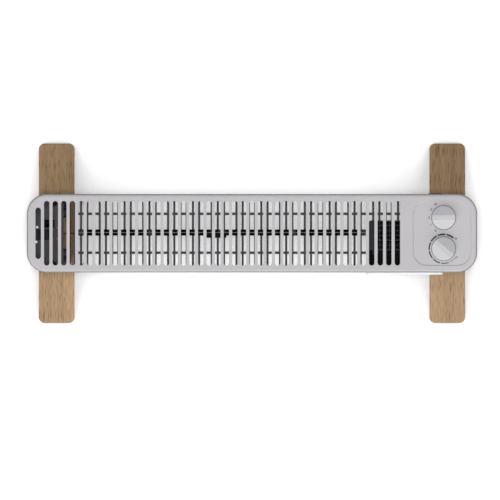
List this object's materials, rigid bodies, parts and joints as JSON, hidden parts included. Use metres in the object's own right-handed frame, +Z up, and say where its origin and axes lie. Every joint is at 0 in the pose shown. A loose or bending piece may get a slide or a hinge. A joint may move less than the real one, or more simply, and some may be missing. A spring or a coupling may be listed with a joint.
{
  "type": "convector heater",
  "caption": "Long, low convector heater with a slotted top, two control knobs, a turbo fan outlet in front and splayed wooden feet.",
  "frame": {"origin": "on the floor, midway between the four feet", "axes": "+X along the casing towards the controls, -Y to the front with the fan outlet, +Z up"},
  "size_m": [0.632, 0.252, 0.4464],
  "materials": {
    "top_shell": "fine satin moulding, light grey",
    "knob_plastic": "satin moulding, light grey",
    "end_plastic": "fine grained moulding, light grey",
    "outlet_plastic": "fine grained moulding, light grey",
    "panel_paint": "powder coat, light grey",
    "grille_plastic": "matt moulding, grey",
    "leg_wood": "lacquered oak, fine grain along the board",
    "bracket_paint": "black powder coat",
    "pad_rubber": "matt",
    "dark_screws": "blackened",
    "bright_screws": "zinc plated",
    "element_mica": "laminated mica board",
    "heating_ribbon": "resistance strip",
    "plated_steel": "zinc plated sheet",
    "channel_steel": "heat darkened",
    "ceramic": "unglazed ceramic",
    "black_plastic": "matt moulding, black",
    "guard_plastic": "matt moulding, grey",
    "impeller_plastic": "matt moulding, dark grey",
    "turned_steel": "turned",
    "switch_plastic": "matt moulding, grey",
    "pale_plastic": "matt moulding, cream",
    "bearing_bronze": "sintered bronze",
    "motor_laminations": "stacked laminations",
    "coil_wire": "taped and lacquered winding",
    "bridge_metal": "die cast",
    "wire_insulation": "silicone sleeving, dark",
    "dial_ink": "thin grey print of the dial marks"
  },
  "bodies": {
    "casing": {"top_grille": "top_shell", "front_panel": "panel_paint", "back_panel": "panel_paint", "left_end_cap": "end_plastic", "right_end_cap": "end_plastic", "bottom_grille": "grille_plastic", "left_front_leg": "leg_wood", "left_rear_leg": "leg_wood", "right_front_leg": "leg_wood", "right_rear_leg": "leg_wood", "left_foot_bracket": "bracket_paint", "right_foot_bracket": "bracket_paint", "foot_pads": "pad_rubber", "leg_screws": "dark_screws", "bracket_screws": "bright_screws", "casing_screws": "bright_screws", "element_sheet": "element_mica", "element_channel": "channel_steel", "element_insulators": "ceramic", "low_heat_ribbon": "heating_ribbon", "high_heat_ribbon": "heating_ribbon", "left_element_bracket": "plated_steel", "right_element_bracket": "plated_steel", "thermal_cutout": "black_plastic", "cutout_clip": "plated_steel", "thermal_fuse": "ceramic", "tilt_switch_case": "switch_plastic", "junction_block": "black_plastic", "heat_shield": "plated_steel", "control_bracket": "plated_steel", "control_screws": "bright_screws", "power_switch": "switch_plastic", "thermostat": "pale_plastic", "fan_housing": "black_plastic", "fan_guard": "guard_plastic", "outlet_grille": "outlet_plastic", "fan_bearing": "bearing_bronze", "motor_core": "motor_laminations", "motor_coil": "coil_wire", "motor_bridges": "bridge_metal", "fan_screws": "dark_screws", "terminal_block": "pale_plastic", "cable_gland": "black_plastic", "gland_nut": "black_plastic", "inner_wiring": "wire_insulation"},
    "power_control": {"power_knob": "knob_plastic", "power_spindle": "turned_steel"},
    "thermostat_control": {"thermostat_knob": "knob_plastic", "thermostat_spindle": "turned_steel"},
    "fan_rotor": {"impeller": "impeller_plastic", "fan_shaft": "turned_steel", "motor_rotor": "turned_steel"},
    "pendulum": {"tilt_pendulum": "turned_steel"}
  },
  "joints": [
    {"name": "power_knob_turn", "type": "hinge", "parent": "casing", "child": "power_control", "pos_m": [0.269, 0.02185, 0.43], "axis": [0, 0, 1], "range_deg": [-60, 60]},
    {"name": "thermostat_knob_turn", "type": "hinge", "parent": "casing", "child": "thermostat_control", "pos_m": [0.269, -0.02185, 0.43], "axis": [0, 0, 1], "range_deg": [-100, 188]},
    {"name": "fan_spin", "type": "hinge", "parent": "casing", "child": "fan_rotor", "pos_m": [0.2, -0.008, 0.09747], "axis": [1, 0, 0], "continuous": true},
    {"name": "tilt_swing", "type": "hinge", "parent": "casing", "child": "pendulum", "pos_m": [-0.2924, -0.00175, 0.09547], "axis": [0, 1, 0], "range_deg": [-20, 20]}
  ]
}
